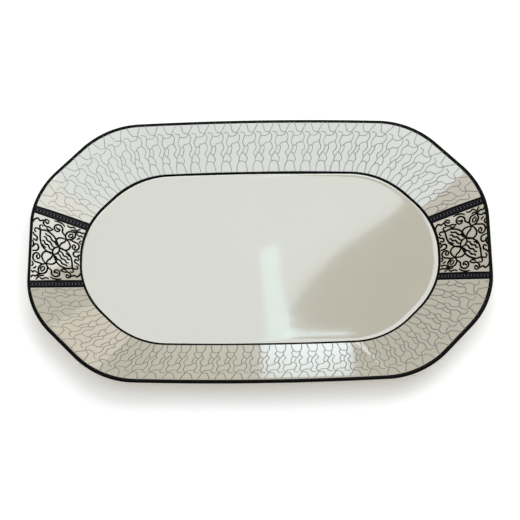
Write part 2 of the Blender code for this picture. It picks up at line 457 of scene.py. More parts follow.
@dataclass(frozen=True)
class Outline:
    """An octagon with cut corners, each corner rounded by one radius, with bowed long sides.

    A place on it is counted in quarters of its length: 0 is the end at +X, 1 the middle of the side at +Y.

    Attributes:
        half_length: Half its size along X.
        half_width: Half its size along Y, with the bow.
        cut: What each corner loses along X and along Y.
        radius: Radius of the rounded corners, where there is room for it.
        bow: How far the middle of a long side stands out.
        arc_steps: Steps on each arc and along the side.
    """

    half_length: float
    half_width: float
    cut: float
    radius: float
    bow: float
    arc_steps: int = 96

    @cached_property
    def quarter(self) -> tuple[np.ndarray, np.ndarray]:
        """Points of the first quarter and each point's place.

        Two arcs of an eighth turn each, tangent to the end, the cut corner and the side. The bow then adds
        to y a share of itself that falls from one at the middle to none at the end, as one less the square
        of x over the half length.
        """
        flat = self.half_width - self.bow
        room = min(self.cut / math.sqrt(2), flat - self.cut, self.half_length - self.cut)
        radius = min(self.radius, room / HALF_CORNER_TANGENT)
        tangent = radius * HALF_CORNER_TANGENT
        centres = np.array([
            [self.half_length - radius, flat - self.cut - tangent],
            [self.half_length - self.cut - tangent, flat - radius],
        ])
        turn = np.linspace(0, EIGHTH_TURN, self.arc_steps + 1) + np.array([[0.0], [EIGHTH_TURN]])
        arcs = centres[:, None] + radius * np.stack((np.cos(turn), np.sin(turn)), -1)
        run = np.linspace(arcs[1, -1, 0], 0, self.arc_steps)[1:]
        side = np.column_stack((run, np.full(len(run), flat)))
        points = np.vstack(([[self.half_length, 0]], arcs[0], arcs[1], side))
        points[:, 1] *= 1 + self.bow / flat * (1 - (points[:, 0] / self.half_length) ** 2)
        steps = np.hypot(*np.diff(points, axis=0).T)
        return points, np.concatenate(([0], np.cumsum(steps))) / steps.sum()

    @cached_property
    def quarter_length(self) -> float:
        """Length of a quarter of the outline."""
        return float(np.hypot(*np.diff(self.quarter[0], axis=0).T).sum())

    def corner_place(self) -> float:
        """Place of the middle of the cut corner."""
        return float(self.quarter[1][self.arc_steps + 1: self.arc_steps + 3].mean())

    def side_place(self) -> float:
        """Place where the long side starts."""
        return float(self.quarter[1][2 * self.arc_steps + 2])

    def place_at(self, offset: float | np.ndarray) -> np.ndarray:
        """Place that is this far from the X axis, on the first quarter or, below zero, on the last."""
        points, place = self.quarter
        return np.sign(offset) * np.interp(np.abs(offset), points[:, 1], place)

    def at(self, places: np.ndarray) -> np.ndarray:
        """Points at these places: the first quarter's, mirrored into the others.

        Args:
            places: Places in an array of any shape.

        Returns:
            The same shape, with x and y on a last axis.
        """
        points, place = self.quarter
        turned = np.mod(places, 4)
        number = np.floor(turned).astype(int)
        local = np.where(number % 2 == 0, turned - number, 1 - (turned - number))
        x = np.interp(local, place, points[:, 0]) * np.where((number == 1) | (number == 2), -1, 1)
        y = np.interp(local, place, points[:, 1]) * np.where(number > 1, -1, 1)
        return np.stack((x, y), -1)


@dataclass(frozen=True)
class PlatterForm:
    """The glazed platter as one cross-section carried round an outline that changes from lip to verge.

    Overall sizes come from the CAD box, and most others repeat those of the CAD part. The rim's width, the
    well's height, the narrow cove and the places of the end transfers are this form's own.

    Attributes:
        half_length: Half the size along X, with the line round the lip.
        half_width: Half the size along Y, with that line.
        height: Height of the CAD box.
        proud: How far the black lines stand out from the glaze.
        top_clearance: Room left above the lip's line.
        lip_cut: Cut of the lip's corners.
        lip_corner_radius: Radius of the lip's corners.
        lip_side_bow: Bow of the lip's long sides.
        rim_width: Width of the rim in plan, from lip to verge.
        verge_cut: Cut of the verge's corners.
        verge_corner_radius: Radius of the verge's corners.
        verge_side_bow: Bow of the verge's long sides.
        well_height: Height of the flat of the well.
        cove_width: Width of the curve between the well and the verge.
        cove_depth: Height of that curve.
        lip_radius: Radius of the round lip's section.
        rim_thickness: Thickness of the rim at the verge, straight down.
        foot_height: Height of the underside inside the foot ring.
        foot_shoulder: How much higher the back is where it meets the foot ring.
        foot_inset: Distance from the verge to the foot ring, in plan.
        foot_width: Width of the foot ring.
        foot_chamfer: Size of the bevels at its bottom.
        foot_draft: How far its sides lean in.
        bare_foot_height: Height of the unglazed part of the foot.
        crease_softness: Half the width over which the crease at the verge is rounded.
        back_softness: Half the length over which the back's corners are rounded.
        lip_points: Rows round the lip.
        back_points: Rows down the back.
        back_crowding: Power of the row's share. Below 1, rows stand closer together towards the foot.
        band_width: Width that the lattice and the scroll prints leave free for a beaded band.
        band_offset_at_lip: Distance of a band's middle from the middle of the transfers, at the lip.
        band_offset_at_verge: The same at the verge.
        right_drift: How far the transfers of the right end sit towards the far side.
        left_drift: The same at the left end.
        pairing_softness: Half the width, in quarters, of the running mean between lip and verge places.
        stations: Stations all the way round.
    """

    half_length: float
    half_width: float
    height: float
    proud: float = 0.00006
    top_clearance: float = 0.00012
    lip_cut: float = 0.0562
    lip_corner_radius: float = 0.0635
    lip_side_bow: float = 0.0070
    rim_width: float = 0.0390
    verge_cut: float = 0.0422
    verge_corner_radius: float = 0.0606
    verge_side_bow: float = 0.0042
    well_height: float = 0.0102
    cove_width: float = 0.0014
    cove_depth: float = 0.0006
    lip_radius: float = 0.0016
    rim_thickness: float = 0.0050
    foot_height: float = 0.0038
    foot_shoulder: float = 0.0011
    foot_inset: float = 0.0100
    foot_width: float = 0.0050
    foot_chamfer: float = 0.0008
    foot_draft: float = 0.0006
    bare_foot_height: float = 0.0014
    crease_softness: float = 0.0007
    back_softness: float = 0.0020
    lip_points: int = 15
    back_points: int = 61
    back_crowding: float = 0.8
    band_width: float = 0.0058
    band_offset_at_lip: float = 0.0330
    band_offset_at_verge: float = 0.0245
    right_drift: float = 0.0052
    left_drift: float = 0.0034
    pairing_softness: float = 0.06
    stations: int = 480

    @cached_property
    def lip(self) -> Outline:
        """Outline of the glazed lip."""
        return Outline(
            self.half_length - self.proud, self.half_width - self.proud,
            self.lip_cut, self.lip_corner_radius, self.lip_side_bow,
        )

    @cached_property
    def verge(self) -> Outline:
        """Outline of the verge."""
        inset = self.proud + self.rim_width
        return Outline(
            self.half_length - inset, self.half_width - inset,
            self.verge_cut, self.verge_corner_radius, self.verge_side_bow,
        )

    @cached_property
    def verge_height(self) -> float:
        """Height of the face at the verge, before the crease is softened."""
        return self.well_height + self.cove_depth

    def slope(self, start_height: float, side: float) -> float:
        """Slope of the line from the verge that touches the round lip.

        Args:
            start_height: Height of the line at the verge.
            side: 1 for the line over the lip and -1 for the one under it.

        Returns:
            The slope in radians: the slope to the lip's centre, plus or less the angle that its radius takes.
        """
        run = self.rim_width - self.lip_radius
        rise = self.lip_centre_height - start_height
        return math.atan2(rise, run) + side * math.asin(self.lip_radius / math.hypot(run, rise))

    @cached_property
    def lip_centre_height(self) -> float:
        """Height of the centre of the round lip, with room for raised prints under the CAD box's top."""
        return self.height - self.proud - self.top_clearance - self.lip_radius

    @cached_property
    def face_slope(self) -> float:
        """Slope of the rim's face."""
        return self.slope(self.verge_height, 1)

    @cached_property
    def pairing(self) -> tuple[np.ndarray, np.ndarray]:
        """Places on the lip over one quarter, and the place on the verge that each is joined to.

        The band edges, the cut corner and the side of one outline meet those of the other, with even steps
        between, and a running mean takes the kinks out.
        """
        band = np.array([-1, 1]) * self.band_width / 2
        keys = np.array([
            [0, 0],
            *([self.lip.place_at(self.band_offset_at_lip + reach),
               self.verge.place_at(self.band_offset_at_verge + reach)] for reach in band),
            [self.lip.corner_place(), self.verge.corner_place()],
            [self.lip.side_place(), self.verge.side_place()],
            [1, 1],
        ])
        mirrored = np.concatenate((-keys[:0:-1], keys, 2 - keys[-2::-1]))
        places = np.linspace(0, 1, 201)
        window = np.linspace(-1, 1, 41) * self.pairing_softness
        return places, np.interp(places[:, None] + window, *mirrored.T).mean(1)

    def verge_place(self, places: np.ndarray) -> np.ndarray:
        """Places on the verge joined to these places on the lip, in any quarter."""
        number = np.floor(places)
        local = np.where(number % 2 == 0, places - number, 1 - (places - number))
        found = np.interp(local, *self.pairing)
        return np.where(number % 2 == 0, number + found, number + 1 - found)

    def lip_place(self, verge_places: np.ndarray) -> np.ndarray:
        """Places on the lip joined to these places on the verge, up to one quarter either way."""
        return np.sign(verge_places) * np.interp(np.abs(verge_places), self.pairing[1], self.pairing[0])

    def drift(self, end: End) -> float:
        """How far the transfers of an end sit towards the far side, as they were laid by hand."""
        return self.right_drift if end is End.RIGHT else self.left_drift

    def across_end(
        self, end: End, at_lip: np.ndarray, at_verge: np.ndarray, share: np.ndarray
    ) -> np.ndarray:
        """Places on the lip for points of straight lines that cross the rim at one end.

        Args:
            end: The end.
            at_lip: How far the lines are from the middle of the transfers at the lip, far side positive.
            at_verge: The same at the verge.
            share: How far across the rim each point is.

        Returns:
            Places on the lip.
        """
        drift = self.drift(end)
        lip = self.lip.place_at(at_lip + drift)
        verge = self.lip_place(self.verge.place_at(at_verge + drift))
        found = lip * (1 - share) + verge * share
        return end.value + (found if end is End.RIGHT else -found)

    def plan(self, inset: np.ndarray, places: np.ndarray) -> np.ndarray:
        """Plan positions at insets from the lip.

        On the rim they run straight from the lip to the verge. Inside the verge they run square to it.

        Args:
            inset: Distances inwards from the lip, of any shape.
            places: Places on the lip, of a shape that goes with it.

        Returns:
            x and y on a last axis.
        """
        inset, places = np.broadcast_arrays(inset, places)
        on_verge = self.verge_place(places)
        share = np.minimum(inset / self.rim_width, 1)[..., None]
        step = 0.002
        along = self.verge.at(on_verge + step) - self.verge.at(on_verge - step)
        inward = np.stack((-along[..., 1], along[..., 0]), -1) / np.linalg.norm(along, axis=-1, keepdims=True)
        past = np.maximum(inset - self.rim_width, 0)[..., None]
        return self.lip.at(places) * (1 - share) + self.verge.at(on_verge) * share + inward * past

    def face_height(self, inset: np.ndarray) -> np.ndarray:
        """Height of the face at insets between the round lip and the middle of the well.

        A straight slope down to the verge, then a parabola down to the flat of the well, both averaged over
        a short window so that the crease is soft.
        """
        at = np.asarray(inset)[..., None] + np.linspace(-1, 1, 9) * self.crease_softness
        slope = self.verge_height + (self.rim_width - at) * math.tan(self.face_slope)
        cove = np.clip(1 - (at - self.rim_width) / self.cove_width, 0, 1)
        return np.where(at < self.rim_width, slope, self.well_height + self.cove_depth * cove**2).mean(-1)

    @cached_property
    def lip_arc(self) -> np.ndarray:
        """The round lip from the face to the back, as rows of inset and height."""
        back_slope = self.slope(self.verge_height - self.rim_thickness, -1)
        turn = np.linspace(math.pi / 2 + self.face_slope, back_slope - math.pi / 2, self.lip_points)
        across, up = self.lip_radius * (1 - np.cos(turn)), self.lip_radius * np.sin(turn)
        return np.column_stack((across, self.lip_centre_height + up))

    @cached_property
    def back(self) -> np.ndarray:
        """The back from the lip to the glaze's end on the foot, as rows of inset and height.

        Straight runs, averaged over a window of their length so that the corners are soft. The window
        shrinks to nothing at both ends.
        """
        foot = self.rim_width + self.foot_inset
        corners = np.array([
            self.lip_arc[-1],
            [self.rim_width, self.verge_height - self.rim_thickness],
            [foot, self.foot_height + self.foot_shoulder],
            [foot + self.foot_draft, self.bare_foot_height],
        ])
        length = np.concatenate(([0], np.cumsum(np.hypot(*np.diff(corners, axis=0).T))))
        at = length[-1] * np.linspace(0, 1, self.back_points) ** self.back_crowding
        reach = np.minimum(self.back_softness, np.minimum(at, length[-1] - at))
        samples = at[:, None] + reach[:, None] * np.linspace(-1, 1, 15)
        return np.stack([np.interp(samples, length, corners[:, i]).mean(1) for i in (0, 1)], -1)

    def on_face(self, places: np.ndarray, share: np.ndarray) -> np.ndarray:
        """Points on the face of the rim.

        Args:
            places: Places on the lip.
            share: How far across, 0 at the lip's outermost edge and 1 at the verge.

        Returns:
            x, y and z on a last axis.
        """
        inset = np.asarray(share) * self.rim_width
        return np.concatenate((self.plan(inset, places), self.face_height(inset)[..., None]), -1)

    def face_normal(self, places: np.ndarray, share: np.ndarray) -> np.ndarray:
        """Normals of the face: the cross product of two short steps, one across it and one along it."""
        step = 0.003
        along = self.on_face(places + step, share) - self.on_face(places - step, share)
        across = self.on_face(places, share + step) - self.on_face(places, share - step)
        normal = np.cross(along, across)
        return normal / np.linalg.norm(normal, axis=-1, keepdims=True)

    @property
    def round(self) -> np.ndarray:
        """Evenly spaced places all the way round."""
        return np.arange(self.stations) * 4 / self.stations


# ---------------------------------------------------------------------------------------------------------
# Raised enamel on the rim
# ---------------------------------------------------------------------------------------------------------


@dataclass(frozen=True)
class Enamel:
    """How a stroke of enamel stands on the glaze.

    Attributes:
        proud: Height of its top over the glaze.
        sunk: Depth of its underside below the glaze's surface, so that no gap shows.
        bevel: How much narrower the top is than the underside, on each side.
    """

    proud: float = 0.00005
    sunk: float = 0.00003
    bevel: float = 0.00004

    def strokes(
        self, form: PlatterForm, places: np.ndarray, share: np.ndarray, widths: np.ndarray
    ) -> np.ndarray:
        """Cross-sections of strokes laid on the rim along centrelines.

        Each ring is a low trapezium, square to the centreline: its underside is as wide as the stroke and
        its top a little narrower.

        Args:
            form: The platter's form.
            places: Places on the lip of the centrelines' points, one row for each stroke.
            share: How far across the rim each point is.
            widths: Width of the stroke at each point.

        Returns:
            Points by stroke, ring and corner.
        """
        centre = form.on_face(places, share)
        normal = form.face_normal(places, share)
        along = np.gradient(centre, axis=1)
        along /= np.maximum(np.linalg.norm(along, axis=-1, keepdims=True), 1e-12)
        side = np.cross(normal, along)
        half = widths[..., None] / 2
        narrow = np.maximum(half - self.bevel, half * 0.4)
        corners = (
            centre - side * half - normal * self.sunk,
            centre - side * narrow + normal * self.proud,
            centre + side * narrow + normal * self.proud,
            centre + side * half - normal * self.sunk,
        )
        return np.stack(corners, 2)


def smooth_path(points: np.ndarray, samples: int) -> np.ndarray:
    """An even run of samples on the smooth curve through some points.

    A Catmull-Rom curve: between two points it is the cubic whose slope at each is half the step between
    that point's neighbours. The samples are spaced evenly along it.

    Args:
        points: Rows of two coordinates, at least two rows.
        samples: Number of samples.

    Returns:
        Rows of two coordinates.
    """
    padded = np.vstack((2 * points[0] - points[1], points, 2 * points[-1] - points[-2]))
    a, b, c, d = padded[:-3], padded[1:-2], padded[2:-1], padded[3:]
    t = np.linspace(0, 1, 12)[:, None, None]
    cubic = b + 0.5 * t * (c - a + t * (2 * a - 5 * b + 4 * c - d + t * (3 * (b - c) + d - a)))
    dense = cubic.transpose(1, 0, 2).reshape(-1, 2)
    length = np.concatenate(([0], np.cumsum(np.hypot(*np.diff(dense, axis=0).T))))
    at = np.linspace(0, length[-1], samples)
    return np.stack([np.interp(at, length, dense[:, i]) for i in (0, 1)], -1)


@dataclass
class GlazedChina:
    """The china itself: clay with its foot ring, the glaze over it and the patch of glaze underneath.

    Attributes:
        form: The platter's form.
        well_rings: Rings in the flat of the well.
        crease_rows: Rows over the cove and the soft crease beside it, where they stand close together.
        crease_reach: How far past the verge these go, in units of the crease's softness.
        rim_rows: Rows from there to the lip.
        glaze_step: Step by which the hidden ends of the clay and the glazes overlap.
        clay_tuck: How far the clay's upper part stays inside the glaze.
        warp_height: Height of one slow wave in the well.
        waves: The waves: radians per metre along x and y, phase and share of the height.
    """

    form: PlatterForm
    well_rings: int = 26
    crease_rows: int = 17
    crease_reach: float = 1.5
    rim_rows: int = 18
    glaze_step: float = 0.0003
    clay_tuck: float = 0.0001
    warp_height: float = 0.00005
    waves: tuple[tuple[float, float, float, float], ...] = (
        (41, 17, 0.0, 1.0),
        (-23, 52, 1.3, 1.0),
        (66, -31, 0.4, 0.7),
    )

    def sweep(self, section: np.ndarray) -> np.ndarray:
        """Carries rows of inset and height round the outline, as points by row and station."""
        height = np.broadcast_to(section[:, 1:, None], (len(section), self.form.stations, 1))
        return np.concatenate((self.form.plan(section[:, :1], self.form.round[None]), height), -1)

    def warp(self, points: np.ndarray) -> np.ndarray:
        """Heights that the kiln leaves in the flat of the well: the sum of slow sine waves that cross."""
        x, y = points[..., 0], points[..., 1]
        return self.warp_height * sum(
            part * np.sin(along_x * x + along_y * y + phase) for along_x, along_y, phase, part in self.waves
        )

    def well(self) -> np.ndarray:
        """Rings of the flat of the well: its edge drawn in towards the middle by even shares.

        The warp fades to nothing over the outermost quarter.
        """
        form = self.form
        edge = self.sweep(np.array([[form.rim_width + form.cove_width, form.well_height]]))[0]
        share = np.linspace(0, 1, self.well_rings + 1)[1:-1, None, None]
        rings = edge[None] * np.array([1, 1, 0]) * share
        rings[..., 2] = form.well_height + self.warp(rings) * np.minimum(1, (1 - share[..., 0]) * 4)
        return rings

    def add_glaze(self) -> None:
        """The glaze: well, cove, face, lip, back and outer foot, closed across the underside."""
        form = self.form
        past_verge = self.crease_reach * form.crease_softness
        crease = form.rim_width + np.linspace(form.cove_width, -past_verge, self.crease_rows)
        face = np.linspace(crease[-1], form.lip_arc[0, 0], self.rim_rows)
        insets = np.concatenate((crease, face[1:-1]))
        top = np.column_stack((insets, form.face_height(insets)))
        end = form.back[-1]
        ceiling = form.foot_height + 2 * self.glaze_step
        closing = np.array([[end[0] + self.glaze_step, end[1]], [end[0] + self.glaze_step, ceiling]])
        section = np.vstack((top, form.lip_arc, form.back[1:], closing))
        rings = np.concatenate((self.well(), self.sweep(section)))
        poles = np.array([[0, 0, form.well_height + self.warp(np.zeros(2))], [0, 0, ceiling]])
        points = np.vstack((rings.reshape(-1, 3), poles))
        piece("glazed_china", points, pole_faces(*rings.shape[:2]), WHITE_GLAZE, "glaze_coat", 60)

    def add_clay(self) -> None:
        """The clay with its bare foot ring, whose upper part is inside the glaze."""
        form = self.form
        foot = form.rim_width + form.foot_inset + form.foot_draft + self.clay_tuck
        inner = foot + form.foot_width
        roof = form.foot_height + self.glaze_step
        section = np.array([
            [foot, roof],
            [foot, form.foot_chamfer],
            [foot + form.foot_chamfer * 0.3, form.foot_chamfer * 0.3],
            [foot + form.foot_chamfer, 0],
            [inner, 0],
            [inner + form.foot_chamfer * 0.7, form.foot_chamfer * 0.3],
            [inner + form.foot_chamfer, form.foot_chamfer],
            [inner + form.foot_chamfer + form.foot_draft, roof],
        ])
        faces = grid_faces(len(section), form.stations, True, True)
        piece("clay_foot_ring", self.sweep(section), [faces], BARE_CLAY, "porcelain_body")

    def add_base_glaze(self) -> None:
        """The glaze inside the foot ring: a thin disc of the ring's inner outline, with a soft edge."""
        form = self.form
        edge = form.rim_width + form.foot_inset + form.foot_width + 2 * (form.foot_draft + form.foot_chamfer)
        under, top = form.foot_height - self.glaze_step, form.foot_height + self.glaze_step
        section = np.array([[edge, top], [edge, form.foot_height], [edge + self.glaze_step, under]])
        side = self.sweep(section)
        inward = side[-1][None] * np.array([0.75, 0.5, 0.25])[:, None, None]
        inward[..., 2] = under
        rings = np.concatenate((side, inward))
        points = np.vstack((rings.reshape(-1, 3), [[0, 0, top], [0, 0, under]]))
        piece("base_glaze", points, pole_faces(*rings.shape[:2]), WHITE_GLAZE, "glaze_inside_foot", 60)

    def add(self) -> None:
        """Adds all three pieces."""
        self.add_glaze()
        self.add_clay()
        self.add_base_glaze()


@dataclass
class EnamelLines:
    """The two banded black lines: one wraps the lip, the other lies along the verge.

    Attributes:
        form: The platter's form.
        verge_line_width: Mean width of the line along the verge.
        lip_reach: How far the line round the lip reaches down the face, on average.
        lip_reach_swell: How much that changes round the platter, as a hand-held brush leaves it.
        lip_tuck: How far it reaches down the back.
        back_rows: Rows of the back that its path takes in.
        run_out: How far the path of a line goes on over the face beside it, in plan.
        sunk: Depth of the underside below the glaze's surface.
        round_over: Distance from each edge over which a line comes to its full height.
        across: Points across a line.
    """

    form: PlatterForm
    verge_line_width: float = 0.0021
    lip_reach: float = 0.00042
    lip_reach_swell: float = 0.00036
    lip_tuck: float = 0.0008
    back_rows: int = 7
    run_out: float = 0.003
    sunk: float = 0.00003
    round_over: float = 0.0002
    across: int = 15

    def wrap(self, path: np.ndarray, start: np.ndarray, end: np.ndarray) -> np.ndarray:
        """A closed strip of enamel on a path of the cross-section, carried all the way round.

        At each station the strip runs between two lengths along the path. Its top is offset outwards,
        square to the path, by the root of the distance to the nearer edge until it is at its full height.

        Args:
            path: Rows of inset and height.
            start: Length along the path where the strip starts, one for each station.
            end: Length where it ends.

        Returns:
            Points by station and by corner of the strip's section.
        """
        length = np.concatenate(([0], np.cumsum(np.hypot(*np.diff(path, axis=0).T))))
        share = np.linspace(0, 1, self.across)
        width = (end - start)[:, None]
        at = start[:, None] + width * share
        slope = np.gradient(path, length, axis=0)
        inset, height, across, up = (np.interp(at, length, column) for column in (*path.T, *slope.T))
        edge = np.minimum(share, 1 - share)[None] * width
        proud = self.form.proud * np.sqrt(np.clip(edge / self.round_over, 0, 1))
        rings = []
        for rise in (proud, np.full_like(proud, -self.sunk)):
            flat = self.form.plan(inset + up * rise, self.form.round[:, None])
            rings.append(np.concatenate((flat, (height - across * rise)[..., None]), -1))
        return np.concatenate((rings[0], rings[1][:, ::-1]), 1)

    def add_strip(self, name: str, node: str, points: np.ndarray) -> None:
        """Adds a wrapped strip as one piece."""
        faces = grid_faces(*points.shape[:2], True, True)
        piece(name, points, [faces], BLACK_ENAMEL, node, 50)

    def add(self) -> None:
        """Adds the line round the lip and the line along the verge, each of an uneven width.

        The width changes as a sum of slow sines of the turn about the vertical.
        """
        form = self.form
        turn = form.round * math.pi / 2
        straight = form.lip_arc[:1] + [self.run_out, -self.run_out * math.tan(form.face_slope)]
        path = np.vstack((straight, form.lip_arc, form.back[1:1 + self.back_rows]))
        lengths = np.concatenate(([0], np.cumsum(np.hypot(*np.diff(path, axis=0).T))))
        face_edge, back_edge = lengths[1], lengths[len(form.lip_arc)]
        swell = np.sin(turn) + 0.4 * np.cos(turn) + 0.25 * np.sin(3 * turn + 1.2)
        start = face_edge - self.lip_reach - self.lip_reach_swell * swell
        end = np.full(form.stations, back_edge + self.lip_tuck)
        self.add_strip("lip_line", "rim_line", self.wrap(path, start, end))

        insets = form.rim_width + np.linspace(self.run_out, -self.run_out, 25)
        path = np.column_stack((insets, form.face_height(insets)))
        middle = np.hypot(*np.diff(path, axis=0).T).sum() / 2
        half = self.verge_line_width / 2 * (1 + 0.06 * np.sin(5 * turn + 1) + 0.05 * np.sin(11 * turn))
        self.add_strip("verge_line_enamel", "verge_line", self.wrap(path, middle - half, middle + half))


@dataclass
class LatticePrint:
    """The lattice along one long side: one cell of strokes, repeated from one beaded band to the other.

    A cell is one pitch wide. Across the rim it is measured from 0 at the lip's line to 1 at the verge.

    Attributes:
        form: The platter's form.
        side: The long side that it lies on.
        pitch: Width of a cell in the middle of the side.
        shift: Shift of the row of cells, in cells.
        half_cells: Cells from the middle of the side to either end.
        stroke_width: Mean width of a stroke.
        width_change: Share by which strokes differ in width from each other.
        width_wave: Share by which a stroke's own width waves.
        heavier_right: Share by which the strokes at the right end are wider.
        thinnest: Smallest scale of a stroke's section, to the fourth power.
        lip_margin: Distance from the lip's edge to the lattice.
        end_gap: Share of a cell left free at either end.
        fan_start: Count of cells from the middle where they start to spread round the corner.
        fan_softness: Count of cells over which that begins.
        samples: Points along a stroke.
    """

    form: PlatterForm
    side: Side
    pitch: float = 0.0126
    shift: float = -0.66
    half_cells: float = 14.7
    stroke_width: float = 0.00068
    width_change: float = 0.14
    width_wave: float = 0.10
    heavier_right: float = 0.14
    thinnest: float = 0.72
    lip_margin: float = 0.00235
    end_gap: float = 0.09
    fan_start: float = 4.9
    fan_softness: float = 1.1
    samples: int = 15

    @cached_property
    def strokes(self) -> list[np.ndarray]:
        """Control points of the cell's strokes, in cell coordinates."""
        cup, stem, knot, heart = (0.333, 0.193), (0.810, 0.257), (0.377, 0.378), (0.962, 0.441)
        waist, fork, foot = (0.63, 0.584), (0.81, 0.635), (0.456, 0.681)
        toe, heel = (0.798, 0.789), (0.40, 0.772)
        next_cup, next_knot, last_stem = (cup[0] + 1, cup[1]), (knot[0] + 1, knot[1]), (stem[0] - 1, stem[1])
        runs = [
            [(0.90, -0.01), (0.93, 0.04), (0.985, 0.11), (1.05, 0.173)],
            [(1.05, 0.173), (1.17, 0.185), next_cup],
            [cup, (0.407, 0.14), (0.50, 0.09), (0.575, 0.04), (0.61, -0.01)],
            [cup, (0.254, 0.236), (0.12, 0.26), (-0.04, 0.263), last_stem],
            [cup, (0.44, 0.23), (0.476, 0.28), (0.44, 0.33), knot],
            [(0.52, 0.185), (0.655, 0.19), (0.778, 0.204), stem],
            [stem, (0.738, 0.31), (0.665, 0.365), (0.694, 0.42), (0.77, 0.461), (0.863, 0.461), heart],
            [heart, (1.07, 0.404), (1.21, 0.396), next_knot],
            [heart, (0.996, 0.49), (0.968, 0.545), (0.903, 0.60), fork],
            [(0.77, 0.461), (0.75, 0.51), (0.70, 0.554), waist],
            [waist, (0.714, 0.602), fork],
            [knot, (0.46, 0.437), (0.50, 0.49), (0.46, 0.53), (0.367, 0.56), (0.294, 0.593),
             (0.357, 0.636), foot],
            [foot, (0.532, 0.63), waist],
            [fork, (0.893, 0.676), (0.938, 0.714), (0.897, 0.753), toe],
            [foot, (0.42, 0.73), heel, (0.337, 0.806), (0.298, 0.838), (0.278, 0.89), (0.268, 1.0)],
            [heel, (0.486, 0.762), (0.585, 0.751), (0.685, 0.762), toe, (0.853, 0.833), (0.917, 0.937),
             (0.93, 1.0)],
        ]
        return [np.array(run) for run in runs]

    def fan(self, cells: np.ndarray) -> np.ndarray:
        """How far a count of cells from the middle has gone into the corner, by a soft ramp from zero.

        The ramp is the softness times the log of one plus e to the power of (count less start) over the
        softness.
        """
        return self.fan_softness * np.logaddexp(0, (np.abs(cells) - self.fan_start) / self.fan_softness)

    def end_drift(self, cells: np.ndarray) -> np.ndarray:
        """How much further from the X axis the strip stops than it would without the drift, for each count.

        Counts above zero run to the right end on the far side, and to the left end on the near side.
        """
        ends = (End.RIGHT, End.LEFT) if self.side is Side.FAR else (End.LEFT, End.RIGHT)
        outward = 1 if self.side is Side.FAR else -1
        return outward * np.where(cells > 0, *(self.form.drift(end) for end in ends))

    def spread(self, cells: np.ndarray, outline: Outline, offset: float) -> np.ndarray:
        """Places along an outline from the middle of the side, for counts of cells.

        Even pitches, plus a share of the fan's ramp that makes the last cell end where the strip ends.

        Args:
            cells: Counts of cells from the middle, positive or negative.
            outline: The outline.
            offset: Distance from the X axis to the beaded band's edge, without the drift.

        Returns:
            Places from the middle of the side, in quarters.
        """
        size = np.abs(cells)
        drift = self.end_drift(cells)
        end_length = (1 - outline.place_at(offset + drift)) * outline.quarter_length
        last = self.half_cells - drift / self.pitch
        rest = self.fan(np.zeros(1))
        ramp = (self.fan(size) - rest) / (self.fan(last) - rest)
        length = size * self.pitch + (end_length - last * self.pitch) * ramp
        return np.sign(cells) * length / outline.quarter_length

    def on_rim(self, cells: np.ndarray, depth: np.ndarray) -> tuple[np.ndarray, np.ndarray]:
        """Places and shares on the rim for points of the lattice.

        Args:
            cells: Counts of cells from the middle of the side.
            depth: 0 at the lip's line and 1 at the verge.

        Returns:
            Places on the lip, and shares across the rim.
        """
        form = self.form
        band = form.band_width / 2
        at_lip = 1 - self.spread(cells, form.lip, form.band_offset_at_lip + band)
        on_verge = 1 - self.spread(cells, form.verge, form.band_offset_at_verge + band)
        mirrored = on_verge > 1
        at_verge = form.lip_place(np.where(mirrored, 2 - on_verge, on_verge))
        at_verge = np.where(mirrored, 2 - at_verge, at_verge)
        share = (self.lip_margin + depth * (form.rim_width - self.lip_margin)) / form.rim_width
        places = at_lip * (1 - share) + at_verge * share
        return places + (self.side.value - 1), share

    def paths(self) -> np.ndarray:
        """Centrelines of all strokes, as stroke, sample, and count of cells with depth.

        Every cell takes a copy. A stroke that runs over either end of the strip keeps the run inside, with
        as many samples as a whole one, and what has only a sample or two inside is dropped.
        """
        cell = np.stack([smooth_path(run, self.samples) for run in self.strokes])
        numbers = np.arange(-math.ceil(self.half_cells) - 1, math.ceil(self.half_cells) + 1)
        moved = np.broadcast_to(cell, (len(numbers), *cell.shape)).copy()
        moved[..., 0] += numbers[:, None, None] + self.shift
        moved = moved.reshape(-1, self.samples, 2)
        cells = moved[..., 0]
        inside = np.abs(cells) < self.half_cells - self.end_gap - self.end_drift(cells) / self.pitch
        cut = [
            smooth_path(path[keep], self.samples)
            for path, keep in zip(moved, inside)
            if 2 < keep.sum() < self.samples
        ]
        return np.concatenate((moved[inside.all(1)], np.stack(cut)))

    def widths(self, cells: np.ndarray) -> np.ndarray:
        """Width of the strokes at each sample.

        The mean width, times a sine of the stroke's number, a sine along the stroke, and a share that
        grows evenly towards the right end.

        Args:
            cells: Counts of cells from the middle, by stroke and sample.

        Returns:
            Widths of the same shape.
        """
        number = np.arange(len(cells))[:, None]
        along = np.linspace(0, 9, self.samples)
        rightwards = cells / self.half_cells * (1 if self.side is Side.FAR else -1)
        own = self.stroke_width * (1 + self.width_change * np.sin(number * 1.7))
        return own * (1 + self.width_wave * np.sin(along + number)) * (1 + self.heavier_right * rightwards)

    def add(self) -> None:
        """Adds the lattice of this side as one piece.

        Each stroke's rings are drawn in towards their centres by the fourth root of a sine of its number,
        so that some strokes stand a little lower.
        """
        paths = self.paths()
        cells, depth = paths[..., 0], paths[..., 1]
        places, share = self.on_rim(cells, depth)
        points = Enamel(proud=0.00004).strokes(self.form, places, share, self.widths(cells))
        centre = points.mean(2, keepdims=True)
        half_change = (1 - self.thinnest) / 2
        body = 1 - half_change + half_change * np.sin(np.arange(len(paths)) * 2.4)
        points = centre + (points - centre) * body[:, None, None, None] ** 0.25
        faces = tube_faces(len(paths), self.samples, points.shape[2], False)
        label = self.side.label
        piece(f"lattice_print_{label}", points, faces, LATTICE_GREY, f"lattice_{label}")


